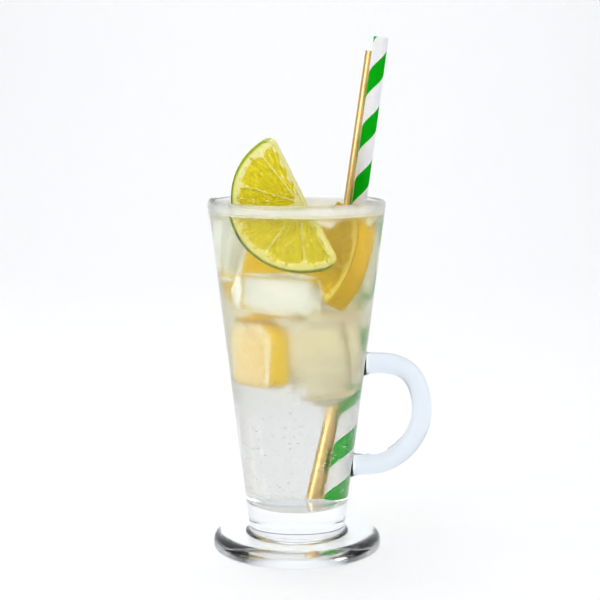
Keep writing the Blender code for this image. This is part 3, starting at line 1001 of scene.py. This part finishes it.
# %% Skin of a slice
RIM_ROUNDING = 0.7 * MM
RIM_STEPS = 4
SIDE_STEPS = 8
FACE_MARGIN = (0.2 * MM, 0.75 * MM)


def slice_rows(thickness, rows, rounding=RIM_ROUNDING):
    """For each row: share of the way to the rim, inset from it, and height."""
    front = [(share / rows, 0.0, 0.0) for share in range(1, rows)]
    rim = []
    for step in range(RIM_STEPS + 1):
        angle = math.pi / 2 * step / RIM_STEPS
        rim.append((1.0, rounding * (1 - math.sin(angle)), -rounding * (1 - math.cos(angle))))
    straight = thickness - 2 * rounding
    side = [(1.0, 0.0, -rounding - straight * step / SIDE_STEPS) for step in range(1, SIDE_STEPS)]
    back = [(share, inset, -thickness - height) for share, inset, height in reversed(front + rim)]
    return front + rim + side + back


def slice_skin(name, shape, material, rows=44, columns=300):
    """The closed skin of a slice in its own frame, with its zones stored on it."""
    outline = evenly(shape["outline"], columns)
    centre = outline.mean(axis=0)
    arms = outline - centre
    lengths = np.hypot(*arms.T)[:, None]
    places = []
    thickness = shape["thickness"]
    table = slice_rows(thickness, rows)
    for share, inset, height in table:
        ring = centre + arms * share * (1 - inset / lengths)
        places.append(np.column_stack([ring, np.full(columns, height)]))
    places = np.concatenate(places)
    ends = [(*centre, 0.0), (*centre, -thickness)]
    vertices = np.concatenate([places, np.array(ends)])
    first, last = len(places), len(places) + 1
    faces = []
    for row in range(len(table) - 1):
        for i in range(columns):
            after = (i + 1) % columns
            low, high = row * columns, (row + 1) * columns
            faces.append((low + i, high + i, high + after, low + after))
    top = (len(table) - 1) * columns
    faces += [(first, i, (i + 1) % columns) for i in range(columns)]
    faces += [(last, top + (i + 1) % columns, top + i) for i in range(columns)]
    spine = shape.get("spine", 0.0)
    zone = flesh_rule(
        vertices, shape["radius"], shape["membrane_angle"], shape.get("membrane", 0.5 * MM), spine,
        shape.get("band", RIND_BAND), shape.get("core", CORE_RADIUS), shape.get("cut"),
    )
    rind = rind_rule(vertices, shape["radius"], shape["rind"], spine)
    rough = np.array([noise.noise(Vector(place) * 900) for place in vertices])
    near, far = FACE_MARGIN
    facing = ramp(vertices[:, 2], -far, -near) - ramp(-vertices[:, 2], thickness - far, thickness - near)
    vertices[:, 2] -= facing * (zone * (FLESH_DEPTH - 0.12 * MM * rough) - (1 - rind) * 0.05 * MM * rough)
    mesh = bpy.data.meshes.new(name)
    mesh.from_pydata(vertices.tolist(), [], faces)
    for label, values in (("flesh", zone * (1 - rind)), ("rind", rind)):
        mesh.attributes.new(label, "FLOAT", "POINT").data.foreach_set("value", values.astype(np.float32))
    mesh.materials.append(material)
    mesh.shade_smooth()
    face_outwards(mesh)
    return new_object(name, mesh)


# %% [markdown]
# ## Juice sacs
#
# What makes a cut citrus glow is its juice sacs: hundreds of small drops, long towards the middle of
# the wheel. A bump map would look flat at the edge, so a geometry tree scatters real ones over the
# flesh, turns each towards the middle, and gives each its own size and tone.

# %% Sac tree
def sac_tree():
    sockets = [("Spacing", "Float"), ("Length", "Float"), ("Width", "Float"), ("Height", "Float")]
    tree, given = new_tree("juice_sacs", sockets + [("Seed", "Int"), ("Material", "Material")])
    limit = {0: named_value(tree, "flesh"), 1: 0.72}
    inside = wire(tree, "FunctionNodeCompare", limit, operation="GREATER_THAN")
    spots = spots_on(tree, given, inside, 4.0e6)
    position = tree.nodes.new("GeometryNodeInputPosition").outputs[0]
    outward = vector_maths(tree, "MULTIPLY", position, (1.0, 1.0, 0.0))
    axes = {"Primary Axis": spots["Normal"], "Secondary Axis": outward}
    aim = wire(tree, "FunctionNodeAxesToRotation", axes, primary_axis="Z", secondary_axis="X")
    swing = wire(tree, "ShaderNodeCombineXYZ", {"Z": luck(tree, -0.16, 0.16, 3)})
    turned = wire(tree, "FunctionNodeRotateRotation", {0: aim, 1: swing}, rotation_space="LOCAL")
    sides = {"X": given["Length"], "Y": given["Width"], "Z": given["Height"]}
    size = wire(tree, "ShaderNodeCombineXYZ", sides)
    scale = scaled(tree, size, luck(tree, 0.65, 1.25, 7))
    drop = add(tree, "GeometryNodeMeshUVSphere", {"Segments": 8, "Rings": 5, "Radius": 0.5}).outputs["Mesh"]
    taper = add(tree, "ShaderNodeSeparateXYZ", {0: position}).outputs
    pinch = between(tree, taper["X"], -0.5, 0.4, 0.45, 1.0)
    narrow = {"X": taper["X"], **{side: maths(tree, "MULTIPLY", taper[side], pinch) for side in "YZ"}}
    position = wire(tree, "ShaderNodeCombineXYZ", narrow)
    shaped = wire(tree, "GeometryNodeSetPosition", {"Geometry": drop, "Position": position})
    places = {"Points": spots["Points"], "Instance": shaped, "Rotation": turned, "Scale": scale}
    placed = wire(tree, "GeometryNodeInstanceOnPoints", places)
    tone = {"Geometry": placed, "Name": "tone", "Value": luck(tree, 0.0, 1.0, 11)}
    marked = wire(tree, "GeometryNodeStoreNamedAttribute", tone, domain="INSTANCE")
    end_tree(tree, marked, given["Material"])
    return tree


SACS = sac_tree()


# %% Citrus finishes
# Heights between which the lime's peel is painted from lighter yellow-green at the top, where light falls, to
# darker green below: painted light and shade
PEEL_LIT_HEIGHTS = (138 * MM, 152 * MM)


def citrus_materials(name, rind, pith, flesh, bright, gloss=0.1, lit_peel=None):
    """Two finishes for one fruit: its skin with rind, pith and membranes, and its juice sacs.

    Fruit under the surface has nearly no shine, because water and juice bend light alike.
    """
    shine = {"Specular_IOR_Level": gloss, "Coat_Weight": gloss * 0.6, "Coat_Roughness": 0.12}
    skin, tree, shader = new_material(name + "_skin", 0.35, **shine)
    soft = cloudy(tree, pith[0], pith[1], 500.0)["Colour"]
    wet = cloudy(tree, flesh, bright, 350.0, 0.6)["Colour"]
    peel = cloudy(tree, rind[0], rind[1], 260.0, 0.4)["Colour"]
    # Painted light and shade: the peel turns lighter towards its top and stays darker below.
    if lit_peel:
        peel = blend(tree, between(tree, own_height(tree), *PEEL_LIT_HEIGHTS), peel, lit_peel)
    inner = blend(tree, attribute(tree, "flesh"), soft, wet)
    rind_share = attribute(tree, "rind")
    feed(shader, Base_Color=blend(tree, rind_share, inner, peel))
    pores = beads(tree, 900.0, 0.6)["Height"]
    dents = maths(tree, "MULTIPLY", pores, maths(tree, "MULTIPLY", rind_share, -1.0))
    bump(tree, shader, dents, 0.25 * MM, 0.6)
    pulp, tree, shader = new_material(name + "_sacs", 0.22, **shine)
    tone = attribute(tree, "tone")
    mixed = blend(tree, tone, flesh, bright)
    pale = between(tree, tone, 0.93, 0.97, 0.0, 0.6)
    feed(shader, Base_Color=blend(tree, pale, mixed, pith[0]))
    return skin, pulp

# %% A finished slice
def make_slice(name, place, shape, materials, width, seed, replaced=None, rows=44, columns=300):
    """A slice's skin and its juice sacs, both set in place."""
    skin = slice_skin(name + "_skin", shape, materials[0], rows, columns)
    values = {
        "Spacing": width * 0.62, "Length": width * 2.6, "Width": width, "Height": width * 0.42,
        "Seed": seed, "Material": materials[1],
    }
    sacs = grow(name + "_sacs", SACS, values, skin.data.copy())
    for piece in (skin, sacs):
        settle(piece, place)
        ride(piece, replaced if piece is skin else None)


# %% Lime
# The last colour is painted light: a lighter peel laid on the lime's top.
LIME = citrus_materials(
    "lime", (linear(132, 154, 0), linear(98, 124, 0)), (linear(244, 238, 164), linear(234, 228, 130)),
    linear(208, 194, 0), linear(242, 224, 30), gloss=0.25, lit_peel=linear(168, 186, 24),
)
LIME_RADIUS = 28.9 * MM
LIME_CUT = (24.9, 1.3 * MM)
LIME_CORNER = 4.6 * MM
LIME_SHAPE = {
    "outline": half_wheel(LIME_RADIUS, *LIME_CUT, LIME_CORNER), "radius": LIME_RADIUS,
    "thickness": 5.5 * MM, "membrane_angle": 128.0, "rind": 1.2 * MM, "cut": LIME_CUT,
    "membrane": 0.38 * MM,
}
LIME_FRAME = slice_frame((1.1 * MM, -27.8 * MM, 150.7 * MM), -13.0, -9.35)
make_slice("lime", LIME_FRAME, LIME_SHAPE, LIME, 1.15 * MM, 5, "lime_slice")

# %% Lemon
LEMON = citrus_materials(
    "lemon", (linear(226, 186, 0), linear(214, 172, 0)), (linear(242, 222, 112), linear(234, 208, 76)),
    linear(212, 176, 0), linear(228, 196, 8),
)
LEMON_RADIUS = 27.0 * MM
LEMON_SHAPE = {
    "outline": wedge(LEMON_RADIUS, -46.0, 65.0), "radius": LEMON_RADIUS,
    "thickness": 9.3 * MM, "membrane_angle": -44.0, "rind": 1.0 * MM,
}
LEMON_FRAME = slice_frame((2.4 * MM, -1.4 * MM, 127.0 * MM), -45.0, 22.0)
make_slice("lemon", LEMON_FRAME, LEMON_SHAPE, LEMON, 1.25 * MM, 8, "lemon_slice")

# %% [markdown]
# ## Fruit that is wholly sunk
#
# Three more pieces of lemon lie in the drink. None of them breaks the surface, so the solids leave
# them out and they are made here: part of a wheel behind the lime, a thin slice lying flat under the
# first ice cube, and a thick piece that was cut lengthwise, low down against the wall. They use the
# same rules as the slices above, with fewer faces, because the drink softens them.

# %% Sunk fruit
SUNK = citrus_materials(
    "sunk_lemon", (linear(252, 218, 84), linear(243, 206, 58)),
    (linear(255, 250, 236), linear(255, 244, 222)), linear(242, 214, 148), linear(252, 236, 196),
)
# Painted light: a brighter copy of the lemon's colours, for the piece behind the lime that lies in the shade
# of the others.
LIT_LEMON = citrus_materials(
    "lit_lemon", (linear(242, 206, 30), linear(232, 194, 16)), (linear(252, 228, 110), linear(248, 218, 84)),
    linear(244, 208, 30), linear(252, 222, 60),
)
# Painted shade: a darker, olive copy of the lemon's colours, for the thin slice that lies in shade under the
# first ice cube.
SHADED_LEMON = citrus_materials(
    "shaded_lemon", (linear(176, 140, 10), linear(150, 122, 10)), (linear(232, 196, 84), linear(226, 184, 60)),
    linear(232, 178, 40), linear(240, 196, 80),
)


BEHIND_RADIUS = 22.0 * MM
FLAT_RADIUS = 12.5 * MM
LOW_RADIUS = 10.4 * MM
LOW_SPINE = 17.8 * MM


def sunk_slice(name, outline, radius, thickness, place, membrane_angle, materials, seed, **extra):
    shape = {
        "outline": outline, "radius": radius, "thickness": thickness,
        "membrane_angle": membrane_angle, "rind": 1.0 * MM, **extra,
    }
    make_slice(name, place, shape, materials, 1.3 * MM, seed, rows=24, columns=160)


sunk_slice(
    "lemon_behind", half_wheel(BEHIND_RADIUS, -40.0, 8.0 * MM, 2.0 * MM), BEHIND_RADIUS, 4.0 * MM,
    slice_frame((-1.0 * MM, 5.2 * MM, 120.5 * MM), -2.0, -2.0), 72.0, LIT_LEMON, 21,
)
sunk_slice(
    "lemon_flat", half_wheel(FLAT_RADIUS, 80.0, 0.5 * MM, 2.0 * MM), FLAT_RADIUS, 1.6 * MM,
    Matrix.Rotation(math.radians(-7.0), 4, "Y") @ slice_frame((2.0 * MM, -11.0 * MM, 104.0 * MM), 0.0, 94.0),
    54.0, SHADED_LEMON, 22,
)
sunk_slice(
    "lemon_low", lengthwise(LOW_RADIUS, LOW_SPINE), LOW_RADIUS, 9.5 * MM,
    slice_frame((-16.9 * MM, -9.0 * MM, 73.0 * MM), -48.0, 4.0), 18.0, SUNK, 23,
    spine=LOW_SPINE, band=2.7 * MM, core=-1.0 * MM,
)

# %% [markdown]
# ## Ice
#
# Half-melted cubes have round edges, slightly hollow faces and a cloudy middle. A cube with even
# faces is blown up a little towards a sphere and dented with noise; each has its own seed.

# %% Ice blocks
def ice_material(name, roughness, clearness, core, shell):
    """Ice from cloudy white to nearly clear; its base colour drifts between two tints."""
    material, tree, shader = new_material(
        name, roughness, IOR=ICE_INDEX, Transmission_Weight=clearness, Specular_IOR_Level=0.1
    )
    colour = cloudy(tree, core, shell, 110.0)["Colour"]
    melt = clouds(tree, 120.0, 0.4)
    middle = maths(tree, "SUBTRACT", attribute(tree, "middle"), maths(tree, "MULTIPLY", melt, 0.12))
    feed(shader, Base_Color=colour, Alpha=between(tree, middle, 0.02, 0.55, 0.0, 1.0))
    bump(tree, shader, clouds(tree, 260.0), 0.3 * MM, 0.25)
    lamps_pass(tree, shader, (0.9, 0.9, 0.86))
    return material


def ice_block(name, centre, size, angles, seed, material, cuts=20, roundness=0.35):
    mesh = bpy.data.meshes.new(name)
    work = bmesh.new()
    middle = work.verts.layers.float.new("middle")
    bmesh.ops.create_cube(work, size=2.0)
    bmesh.ops.subdivide_edges(work, edges=work.edges, cuts=cuts, use_grid_fill=True)
    for vertex in work.verts:
        place = vertex.co.copy()
        near, far = sorted(abs(step) for step in place)[:2]
        vertex[middle] = (1 - near ** 4) * (1 - far ** 2)
        ball = place.normalized() * 1.25
        place = place.lerp(ball, roundness)
        dent = noise.fractal(place * 0.9 + Vector((seed * 7.3, 0.0, 0.0)), 0.8, 2.0, 3) * 0.10
        place *= 1 + dent
        vertex.co = Vector([place[i] * size[i] / 2 * MM for i in range(3)])
    work.to_mesh(mesh)
    work.free()
    mesh.materials.append(material)
    mesh.shade_smooth()
    place = Matrix.Translation(Vector(centre) * MM)
    for axis, angle in zip("ZYX", reversed(angles)):
        place = place @ Matrix.Rotation(math.radians(angle), 4, axis)
    ride(settle(new_object(name, mesh), place))

# %% The five cubes
WHITE_ICE = ice_material("white_ice", 0.5, 0.15, linear(250, 252, 255), linear(244, 248, 255))
JUICY_ICE = ice_material("juicy_ice", 0.45, 0.15, linear(238, 231, 208), linear(228, 221, 196))
MILKY_ICE = ice_material("milky_ice", 0.5, 0.2, linear(240, 240, 224), linear(230, 232, 212))
CLEAR_ICE = ice_material("clear_ice", 0.45, 0.12, linear(246, 250, 255), linear(242, 248, 255))
ice_block("ice_front", (-7, -14, 113), (31, 12.5, 16), (4, 3, 4), 1, WHITE_ICE, roundness=0.3)
ice_block("ice_left", (-23, -1, 131.5), (11, 13, 28), (4, 6, 8), 2, CLEAR_ICE, roundness=0.3)
ice_block("ice_right", (9.5, -6, 86), (25, 17, 36), (5, -6, -10), 3, JUICY_ICE, roundness=0.6)
ice_block("ice_edge", (22.5, -4, 126), (9, 11, 34), (0, 7, -20), 5, MILKY_ICE, roundness=0.4)
ice_block("ice_back", (-3, 17, 118), (24, 12, 26), (10, -8, 14), 4, CLEAR_ICE)

# %% [markdown]
# ## Bubbles and drops
#
# Bubbles sit where a surface holds them: on the wall, along the edge of the floor and on the straws.
# One geometry tree scatters points over any surface inside a box, and sets a small ball of its own
# size on each. A bubble is air inside water, so its index is below one, which gives it the dark rim
# of a real bubble. The same tree sets water drops on the rim of the glass.

# %% Bubble tree
def bubble_tree():
    numbers = [(label, "Float") for label in ("Spacing", "Smallest", "Largest", "Sink")]
    corners = [("Low", "Vector"), ("High", "Vector")]
    tree, given = new_tree("bubbles", corners + numbers + [("Seed", "Int"), ("Material", "Material")])
    position = tree.nodes.new("GeometryNodeInputPosition").outputs[0]
    depths = []
    for first, second in ((position, given["Low"]), (given["High"], position)):
        apart = vector_maths(tree, "SUBTRACT", first, second)
        depths += list(add(tree, "ShaderNodeSeparateXYZ", {0: apart}).outputs)
    nearest = depths[0]
    for depth in depths[1:]:
        nearest = maths(tree, "MINIMUM", nearest, depth)
    spots = spots_on(tree, given, maths(tree, "GREATER_THAN", nearest, 0.0), 2.0e6)
    rare = maths(tree, "POWER", luck(tree, 0.0, 1.0, 5), 3.0)
    spread = maths(tree, "SUBTRACT", given["Largest"], given["Smallest"])
    size = maths(tree, "MULTIPLY_ADD", rare, spread, given["Smallest"])
    push = scaled(tree, spots["Normal"], maths(tree, "MULTIPLY", size, given["Sink"]))
    sized = {"Geometry": spots["Points"], "Name": "size", "Value": size}
    kept = wire(tree, "GeometryNodeStoreNamedAttribute", sized)
    moved = wire(tree, "GeometryNodeSetPosition", {"Geometry": kept, "Offset": push})
    own = named_value(tree, "size")
    ball = add(tree, "GeometryNodeMeshIcoSphere", {"Radius": 1.0, "Subdivisions": 2}).outputs["Mesh"]
    placed = add(tree, "GeometryNodeInstanceOnPoints", {"Points": moved, "Instance": ball, "Scale": own})
    end_tree(tree, placed.outputs[0], given["Material"])
    return tree


BUBBLES = bubble_tree()

# %% Bubble and drop finishes
def bubble_material(name, index, clearness=1.0):
    """Hardly tinted, with a trace of roughness that differs from bubble to bubble; below full clearness the
    rest is white diffuse, a painted highlight.
    """
    material, tree, shader = new_material(name, 0.02, IOR=index, Transmission_Weight=clearness)
    tint = cloudy(tree, (0.97, 0.98, 0.98), (0.88, 0.90, 0.90), 300.0)
    feed(shader, Base_Color=tint["Colour"], Roughness=between(tree, tint["Value"], 0.0, 1.0, 0.0, 0.06))
    lamps_pass(tree, shader)
    return material


AIR = bubble_material("air_bubble", 1.0 / JUICE_INDEX)
# Painted highlight: these bubbles are partly white diffuse, standing in for the silvery reflection of air
# under water.
PAINTED_GLINT = bubble_material("painted_glint_bubble", 1.0 / JUICE_INDEX, 0.55)
WATER = bubble_material("water_drop", WATER_INDEX)

# %% Scattered bubbles and drops
def scatter(name, surface, box, spacing, sizes, sink, seed, material):
    """Set balls on a surface inside a box; sink is how far out they sit, in radii."""
    values = {
        "Low": [low * MM for low in box[0]], "High": [high * MM for high in box[1]],
        "Spacing": spacing * MM, "Smallest": sizes[0] * MM, "Largest": sizes[1] * MM,
        "Sink": sink, "Seed": seed, "Material": material,
    }
    ride(grow(name, BUBBLES, values, surface.data.copy()))


def layer(low, high):
    """A box round the whole glass, between two heights."""
    return (-40, -40, low), (40, 40, high)


FIZZ = (0.10, 0.34)
LEFT_RIM = ((-38, -30, 142.5), (-31, 12, 150))
scatter("wall_bubbles", drink, layer(22, 140), 3.2, (0.12, 0.42), -1.3, 1, AIR)
scatter("floor_bubbles", drink, layer(19.5, 20.7), 1.0, (0.40, 0.80), -1.2, 2, PAINTED_GLINT)
scatter("paper_straw_bubbles", paper_straw, layer(20, 66), 1.3, FIZZ, 0.9, 3, PAINTED_GLINT)
scatter("gold_straw_bubbles", gold_straw, layer(20, 66), 1.2, FIZZ, 0.9, 4, PAINTED_GLINT)
scatter("rim_drops", mug, LEFT_RIM, 0.8, (0.20, 0.55), 0.15, 5, WATER)
